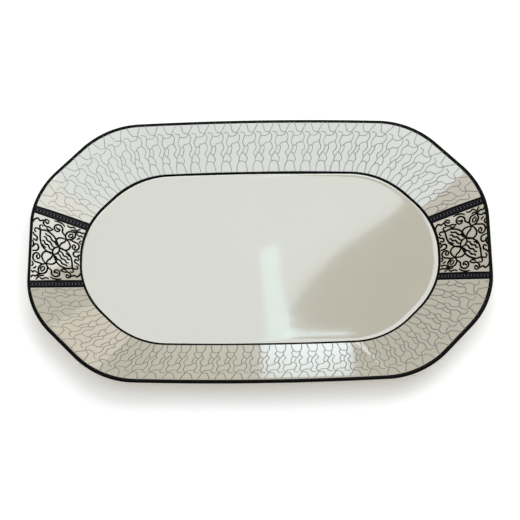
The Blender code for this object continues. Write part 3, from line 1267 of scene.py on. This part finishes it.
@dataclass
class BeadedBand:
    """A beaded band across the rim: a charcoal ground, two black borders, dark beads and pale pearls.

    Attributes:
        form: The platter's form.
        end: The end that it lies at.
        side: Which side of the scroll print it lies on.
        width: Width over both borders.
        border_width: Width of a border.
        bead_radius: Radius of the dark beads.
        pearl_radius: Radius of the small pale pearls between them.
        bead_spacing: Distance from bead to bead, before it is evened out over the band.
        bead_height: Height of beads and pearls.
        bead_profile: Their rings from the bottom up, each as shares of the radius and of the height.
        lip_share: Where the band starts, as a share of the way across the rim.
        verge_share: Where it stops.
        rows: Points along the ground and the borders.
    """

    form: PlatterForm
    end: End
    side: Side
    width: float = 0.0064
    border_width: float = 0.0016
    bead_radius: float = 0.00105
    pearl_radius: float = 0.00045
    bead_spacing: float = 0.0025
    bead_height: float = 0.00007
    bead_profile: tuple[tuple[float, float], ...] = ((1.0, -0.5), (0.95, 0.55), (0.6, 0.9), (0.25, 1.0))
    lip_share: float = 0.05
    verge_share: float = 0.985
    rows: int = 14

    def places(self, offset: np.ndarray, share: np.ndarray) -> np.ndarray:
        """Places on the lip for points of the band.

        Args:
            offset: Distance from the band's centreline, positive away from the scroll print.
            share: How far across the rim.

        Returns:
            Places, with the point at the lip and the point at the verge joined by a straight run.
        """
        form = self.form
        towards = 1 if self.side is Side.FAR else -1
        at_lip = towards * (form.band_offset_at_lip + offset)
        at_verge = towards * (form.band_offset_at_verge + offset)
        return form.across_end(self.end, at_lip, at_verge, share)

    @property
    def label(self) -> str:
        """The band's name in piece and node names."""
        return f"bead_band_{self.end.label}_{self.side.label}"

    def add_strips(
        self, kind: str, offsets: tuple[float, ...], width: float, layer: Enamel, finish: Finish
    ) -> None:
        """Adds straight strips across the rim as one piece, each a run of rings laid as a stroke.

        Args:
            kind: Last word of the piece's name.
            offsets: Distance of each strip's middle from the band's centreline.
            width: Width of a strip.
            layer: How the enamel stands on the glaze.
            finish: Its finish.
        """
        share = np.tile(np.linspace(self.lip_share, self.verge_share, self.rows), (len(offsets), 1))
        places = self.places(np.array(offsets)[:, None], share)
        points = layer.strokes(self.form, places, share, np.full(share.shape, width))
        faces = tube_faces(len(offsets), self.rows, points.shape[2], False)
        piece(f"{self.label}_{kind}", points, faces, finish, self.label)

    def add_beads(self, kind: str, radius: float, phase: float, finish: Finish) -> None:
        """A row of low domes on the centreline, each of some rings and a flat top.

        Args:
            kind: Last word of the piece's name.
            radius: Radius of a dome.
            phase: Shift of the row, as a share of the spacing.
            finish: Their finish.
        """
        form = self.form
        reach = self.verge_share - self.lip_share
        count = int(reach * form.rim_width / math.cos(form.face_slope) / self.bead_spacing)
        share = self.lip_share + (np.arange(count) + phase) / count * reach
        places = self.places(np.zeros_like(share), share)
        centre, normal = form.on_face(places, share), form.face_normal(places, share)
        across = form.on_face(places, share + 0.01) - centre
        across /= np.linalg.norm(across, axis=-1, keepdims=True)
        side = np.cross(normal, across)
        turn = np.arange(8) * EIGHTH_TURN
        circle = across[:, None] * np.cos(turn)[:, None] + side[:, None] * np.sin(turn)[:, None]
        rings = [
            centre[:, None] + radius * wide * circle + (normal * self.bead_height * high)[:, None]
            for wide, high in self.bead_profile
        ]
        points = np.stack(rings, 1)[:, :, ::-1]
        faces = tube_faces(count, len(rings), len(turn), False)
        piece(f"{self.label}_{kind}", points, faces, finish, self.label)

    def add(self) -> None:
        """Adds the ground, the borders, the dark beads and the small pale pearls between them."""
        edge = (self.width - self.border_width) / 2
        low = Enamel(proud=0.00003)
        self.add_strips("ground", (0.0,), self.width - self.border_width, low, BAND_CHARCOAL)
        self.add_strips("borders", (-edge, edge), self.border_width, Enamel(), BLACK_ENAMEL)
        self.add_beads("beads", self.bead_radius, 0.3, BLACK_ENAMEL)
        self.add_beads("pearls", self.pearl_radius, 0.8, BEAD_GREY)


@dataclass
class ScrollPrint:
    """The scroll print at one end: leaf scrolls, petals and sprays between two beaded bands.

    The design is drawn on a panel that is 2 wide across the rim, from -1 at the verge to 1 at the lip, and
    twice the panel's height long from one band to the other. Half of it is drawn and the other half is the
    same turned by half a turn.

    Attributes:
        form: The platter's form.
        end: The end that it lies at.
        panel_height: Half the panel's length, in its own units.
        stroke_width: Full width of a stroke.
        samples: Points along a stroke.
        curl_squash: Width of a curl over its height, since a unit is longer across the rim than along it.
        lip_margin: Distance from the lip's edge to the panel.
        verge_margin: Distance from the verge to the panel.
        band_gap: Distance from the panel to the edge that the bands have in the form.
        drawn: The strokes drawn so far, each with its share of the full width.
    """

    form: PlatterForm
    end: End
    panel_height: float = 1.47
    stroke_width: float = 0.00165
    samples: int = 28
    curl_squash: float = 0.82
    lip_margin: float = 0.0024
    verge_margin: float = 0.0009
    band_gap: float = 0.0004
    drawn: list[tuple[np.ndarray, float]] = field(default_factory=list)

    def stroke(self, *points: tuple[float, float] | np.ndarray, weight: float = 1.0) -> None:
        """Draws a smooth stroke through points, and its partner turned by half a turn."""
        path = smooth_path(np.array(points, float), self.samples)
        self.drawn += [(path, weight), (-path, weight)]

    def curl(
        self, centre: tuple[float, float], radii: tuple[float, float], turns: tuple[float, float],
        lead: tuple[tuple[float, float], ...] = (), weight: float = 1.0,
    ) -> None:
        """Draws a spiral curl, and its partner turned by half a turn.

        The radius and the angle both change evenly along it.

        Args:
            centre: Centre of the curl.
            radii: Radius at its start and at its end.
            turns: Angle at its start and at its end, in turns.
            lead: Points that it passes before it starts to curl.
            weight: Share of the full stroke width.
        """
        share = np.linspace(0, 1, 14)
        radius = radii[0] + (radii[1] - radii[0]) * share
        angle = 2 * math.pi * (turns[0] + (turns[1] - turns[0]) * share)
        circle = np.column_stack((self.curl_squash * np.cos(angle), np.sin(angle)))
        spiral = np.array(centre) + radius[:, None] * circle
        self.stroke(*lead, *spiral, weight=weight)

    def petal(self, start: tuple[float, float], end: tuple[float, float], bulge: float) -> None:
        """Draws a bowed stroke from start to end that stands off the straight line by a share of it."""
        a, b = np.array(start), np.array(end)
        square = np.array([a[1] - b[1], b[0] - a[0]]) * bulge
        stations = ((0, 0), (0.25, 0.8), (0.5, 1), (0.75, 0.8), (1, 0))
        self.stroke(*(a + (b - a) * share + square * height for share, height in stations))

    def draw(self) -> None:
        """Draws the design."""
        inner, outer, tip = (0.115, 0.215), (0.38, 0.70), (0.66, 1.18)
        # The small lozenge in the middle and the chain of petals towards the corner.
        self.petal((-0.115, -0.215), inner, 0.24)
        self.stroke(inner, (0.0, 0.34), (-0.02, 0.54), (0.12, 0.69), outer)
        self.stroke(inner, (0.27, 0.12), (0.47, 0.15), (0.57, 0.35), (0.50, 0.57), outer)
        self.stroke(inner, (0.20, 0.42), (0.32, 0.54), outer)
        self.stroke(outer, (0.32, 0.90), (0.42, 1.13), tip)
        self.stroke(outer, (0.57, 0.76), (0.69, 0.95), tip)
        self.stroke((0.43, 0.84), (0.48, 1.00), (0.60, 1.08), weight=0.9)
        self.stroke((0.47, 0.82), (0.58, 0.90), (0.61, 1.03), weight=0.9)
        # Small leaves round the tip.
        self.stroke((0.66, 1.30), (0.55, 1.42), (0.40, 1.36), (0.28, 1.42), weight=0.9)
        self.stroke(tip, (0.70, 1.32), (0.80, 1.45), weight=0.9)
        self.stroke(tip, (0.80, 1.28), (0.92, 1.26), (0.98, 1.34))
        self.stroke(tip, (0.84, 1.06), (0.92, 1.12), (0.97, 1.02), weight=0.9)
        self.stroke(tip, (0.58, 1.27), (0.46, 1.24), weight=0.9)
        # The leaf spray: an ogee outline, crossed hooks at its tip and waved ribs.
        self.stroke((-0.115, -0.215), (-0.34, -0.12), (-0.57, 0.10), (-0.67, 0.42), (-0.69, 0.80),
                    (-0.73, 0.98), (-0.66, 1.06), (-0.60, 1.00))
        self.stroke(inner, (0.02, 0.44), (-0.08, 0.63), (-0.24, 0.77), (-0.46, 0.86), (-0.69, 0.82),
                    (-0.86, 0.86), (-0.92, 0.74), (-0.85, 0.66))
        self.stroke((0.02, 0.26), (-0.08, 0.42), (-0.19, 0.47), (-0.28, 0.62), (-0.42, 0.66), (-0.48, 0.74))
        self.stroke((-0.06, 0.13), (-0.16, 0.20), (-0.25, 0.36), (-0.37, 0.40), (-0.45, 0.54), (-0.55, 0.54))
        self.stroke((-0.13, 0.0), (-0.25, 0.04), (-0.33, 0.20), (-0.45, 0.22), (-0.51, 0.36), (-0.59, 0.34))
        self.stroke((-0.40, 0.06), (-0.50, 0.10), (-0.56, 0.20), weight=0.9)
        # Scrolls along the band.
        self.curl((-0.02, 1.10), (0.25, 0.10), (-0.06, 1.02), lead=(outer, (0.33, 0.84)))
        self.stroke((-0.10, 1.16), (0.0, 1.08), (0.08, 1.14))
        self.curl((-0.47, 1.23), (0.20, 0.11), (-0.16, -0.92), lead=((-0.18, 0.98), (-0.26, 1.02)))
        self.stroke((-0.54, 1.28), (-0.46, 1.20), (-0.39, 1.26))
        self.stroke((-0.62, 1.30), (-0.74, 1.22), (-0.84, 1.30), (-0.97, 1.18), (-0.99, 1.08))
        self.stroke((-0.22, 1.42), (-0.06, 1.44), (0.12, 1.40), (0.22, 1.30), weight=0.9)
        # Scrolls along the lip.
        self.curl((0.76, 0.42), (0.25, 0.10), (0.27, -0.72), lead=(outer, (0.54, 0.72)))
        self.stroke((0.72, 0.53), (0.78, 0.42), (0.74, 0.32))
        self.curl((0.84, -0.02), (0.17, 0.09), (0.30, 1.02), lead=((0.98, 0.18),))
        self.stroke((0.98, 0.04), (0.93, -0.12), (0.97, -0.30), weight=0.9)
        self.stroke((0.96, -0.36), (0.82, -0.30), (0.80, -0.46), (0.92, -0.54), (0.97, -0.64))
        self.stroke((0.98, 0.86), (0.91, 0.76), (0.97, 0.62), weight=0.9)
        self.stroke((0.78, 0.84), (0.84, 0.92), (0.92, 0.94), weight=0.9)
        self.stroke((0.22, -0.96), (0.34, -0.90), (0.46, -0.98), weight=0.9)

    def on_rim(self, paths: np.ndarray) -> tuple[np.ndarray, np.ndarray]:
        """Places and shares on the rim for points of the panel.

        Args:
            paths: Points of the design.

        Returns:
            Places on the lip, and shares across the rim.
        """
        form = self.form
        first = self.lip_margin / form.rim_width
        last = 1 - self.verge_margin / form.rim_width
        share = last + (first - last) * (paths[..., 0] + 1) / 2
        along = paths[..., 1] / self.panel_height
        edge = form.band_width / 2 + self.band_gap
        if self.end is End.LEFT:
            along = -along
        at_lip = along * (form.band_offset_at_lip - edge)
        at_verge = along * (form.band_offset_at_verge - edge)
        return form.across_end(self.end, at_lip, at_verge, share), share

    def add(self) -> None:
        """Adds the print as one piece. Each stroke swells a little and thins to its ends."""
        self.draw()
        paths = np.stack([path for path, _ in self.drawn])
        weights = np.array([weight for _, weight in self.drawn])
        paths = np.clip(paths, [-1, -self.panel_height], [1, self.panel_height])
        places, share = self.on_rim(paths)
        taper = np.sin(np.linspace(0.3, math.pi - 0.3, self.samples)) ** 0.25
        widths = self.stroke_width * weights[:, None] * taper
        points = Enamel().strokes(self.form, places, share, widths)
        faces = tube_faces(len(paths), self.samples, points.shape[2], False)
        label = self.end.label
        piece(f"scroll_print_{label}", points, faces, SCROLL_BLACK, f"scroll_panel_{label}")


# ---------------------------------------------------------------------------------------------------------
# Studio
# ---------------------------------------------------------------------------------------------------------


@dataclass(frozen=True)
class SoftLight:
    """A rectangular soft light.

    Attributes:
        name: Its name.
        place: Centre of the light.
        size: Width and height.
        radiance: Brightness of its face, for each colour.
        aim: The point that it faces, or nothing for straight down.
        roll: Turn about its own axis, in degrees.
        spread: Full angle in degrees of the beam.
    """

    name: str
    place: tuple[float, float, float]
    size: tuple[float, float]
    radiance: tuple[float, float, float]
    aim: tuple[float, float, float] | None = None
    roll: float = 0.0
    spread: float = 180.0

    def add(self) -> None:
        """Adds the light.

        Its power is its radiance times its area and pi. A narrow beam is gathered along its axis, so it gets
        the share of that power that is one less the half angle over its tangent.
        """
        strength = max(self.radiance)
        half_angle = math.radians(self.spread / 2)
        gathered = 1 - half_angle / math.tan(half_angle) if self.spread < 180 else 1.0
        data = bpy.data.lights.new(self.name, "AREA")
        data.shape = "RECTANGLE"
        data.size, data.size_y = self.size
        data.color = [channel / strength for channel in self.radiance]
        data.energy = strength * self.size[0] * self.size[1] * math.pi * gathered
        data.spread = math.radians(self.spread)
        lamp = bpy.data.objects.new(self.name, data)
        target = Vector(self.aim or (*self.place[:2], 0))
        aim = (target - Vector(self.place)).to_track_quat("-Z", "Y").to_matrix().to_4x4()
        roll = Matrix.Rotation(math.radians(self.roll), 4, "Z")
        lamp.matrix_world = Matrix.Translation(self.place) @ aim @ roll
        bpy.context.scene.collection.objects.link(lamp)


@dataclass
class Studio:
    """The plain floor, the soft lights and the camera.

    Attributes:
        elevation: Angle of the camera over the floor.
        azimuth: Its turn about the vertical.
        roll: Its turn about its own line of sight.
        distance: How far it is from its target.
        lens: Focal length in millimetres, for the sensor's width.
        sensor: Width of the sensor in millimetres.
        shift: Shift of the picture, as shares of its width.
        target_height: Height of the target over the floor.
        floor_size: Side of the floor.
        floor_colour: Linear colour of the floor.
        floor_glow: Light that the floor gives off by itself.
        surround: Linear colour of the even surround.
        lights: The soft lights.
    """

    elevation: float = math.radians(63)
    azimuth: float = -0.027
    roll: float = 0.039
    distance: float = 1.583
    lens: float = 141.2
    sensor: float = 36.0
    shift: tuple[float, float] = (0.0002, -0.0064)
    target_height: float = 0.0108
    floor_size: float = 8.0
    floor_colour: tuple[float, float, float] = (0.93, 0.93, 0.93)
    floor_glow: float = 0.22
    surround: tuple[float, float, float] = (0.300, 0.250, 0.182)
    lights: tuple[SoftLight, ...] = (
        SoftLight("top_softbox", (0, -0.40, 2.2), (2.6, 1.2), (1.82, 2.15, 2.45)),
        SoftLight("overhead_softbox", (0.30, 0.50, 2.25), (1.2, 0.58), (4.3, 4.2, 4.05)),
        SoftLight("right_softbox", (1.72, 0.90, 2.2), (1.6, 1.4), (1.85, 2.00, 2.10)),
        SoftLight("left_card", (-1.15, 0.60, 2.2), (0.9, 0.8), (0.60, 0.50, 0.55)),
        SoftLight("well_softbox", (-0.353, 1.423, 2.2), (1.5, 1.15), (1.42, 1.65, 1.82), roll=47),
        SoftLight("back_fill", (-0.1, 2.9, 2.6), (1.8, 1.1), (1.4, 1.5, 1.55), aim=(0, 0, 0)),
        SoftLight("window_bar", (-0.003, 0.99, 2.15), (0.045, 0.25), (0.54, 1.05, 1.08), roll=11),
        SoftLight("window_foot", (0.075, 0.885, 2.12), (0.15, 0.06), (1.95, 2.55, 2.8), roll=-25),
        SoftLight(
            "far_window", (0.037, 1.5, 0.45), (0.115, 0.26), (3.2, 4.0, 4.6),
            aim=(0.03, -0.092, 0.018), spread=7,
        ),
        SoftLight(
            "far_wall", (-0.15, 1.5, 0.45), (0.25, 0.26), (0.50, 0.60, 0.50),
            aim=(-0.13, -0.092, 0.018), spread=7,
        ),
        SoftLight(
            "low_card", (1.15, 1.95, 1.0), (1.7, 0.9), (0.80, 0.66, 0.53),
            aim=(-0.1, -0.05, 0.02),
        ),
    )

    def add_floor(self) -> None:
        """A plain pale floor under the foot ring."""
        half = self.floor_size / 2
        corners = [(x * half, y * half, 0) for x, y in ((-1, -1), (1, -1), (1, 1), (-1, 1))]
        data = bpy.data.meshes.new("floor")
        data.from_pydata(corners, [], [(0, 1, 2, 3)])
        paint = bpy.data.materials.new("floor_paint")
        paint.use_nodes = True
        shader = paint.node_tree.nodes["Principled BSDF"]
        shader.inputs["Base Color"].default_value = (*self.floor_colour, 1)
        shader.inputs["Roughness"].default_value = 0.9
        shader.inputs["Specular IOR Level"].default_value = 0.0
        shader.inputs["Emission Color"].default_value = (1, 1, 1, 1)
        shader.inputs["Emission Strength"].default_value = self.floor_glow
        data.materials.append(paint)
        floor = bpy.data.objects.new("floor", data)
        bpy.context.scene.collection.objects.link(floor)

    def add_lights(self) -> None:
        """An even pale surround and the soft lights."""
        world = bpy.data.worlds.new("studio")
        world.use_nodes = True
        world.node_tree.nodes["Background"].inputs["Color"].default_value = (*self.surround, 1)
        bpy.context.scene.world = world
        for light in self.lights:
            light.add()

    def add_camera(self) -> None:
        """The camera, on a line from the platter at the elevation and azimuth, rolled about that line."""
        data = bpy.data.cameras.new("camera")
        data.lens = self.lens
        data.sensor_width = self.sensor
        data.shift_x, data.shift_y = self.shift
        data.clip_end = 20.0
        camera = bpy.data.objects.new("camera", data)
        turn = Matrix.Rotation(-self.azimuth, 4, "Z")
        tilt = Matrix.Rotation(math.pi / 2 - self.elevation, 4, "X")
        roll = Matrix.Rotation(-self.roll, 4, "Z")
        back = Matrix.Translation((0, 0, self.distance))
        camera.matrix_world = Matrix.Translation((0, 0, self.target_height)) @ turn @ tilt @ roll @ back
        bpy.context.scene.collection.objects.link(camera)
        bpy.context.scene.camera = camera

    def add(self) -> None:
        """Adds the whole studio, with colours shown as they are."""
        bpy.context.scene.view_settings.view_transform = "Standard"
        self.add_floor()
        self.add_lights()
        self.add_camera()


def main() -> None:
    logging.basicConfig(level=logging.INFO, format="%(name)s: %(message)s")
    low, high = (np.array(corner) for corner in CAD_BOX)
    form = PlatterForm(
        half_length=float(high[0] - low[0]) / 2,
        half_width=float(high[1] - low[1]) / 2,
        height=float(high[2] - low[2]),
    )
    GlazedChina(form).add()
    EnamelLines(form).add()
    LatticePrint(form, Side.FAR).add()
    LatticePrint(form, Side.NEAR, pitch=0.0122, shift=0.17, half_cells=15.0, stroke_width=0.00088).add()
    for end in End:
        ScrollPrint(form, end).add()
        for side in Side:
            BeadedBand(form, end, side).add()
    Studio().add()


if __name__ == "__main__":
    main()
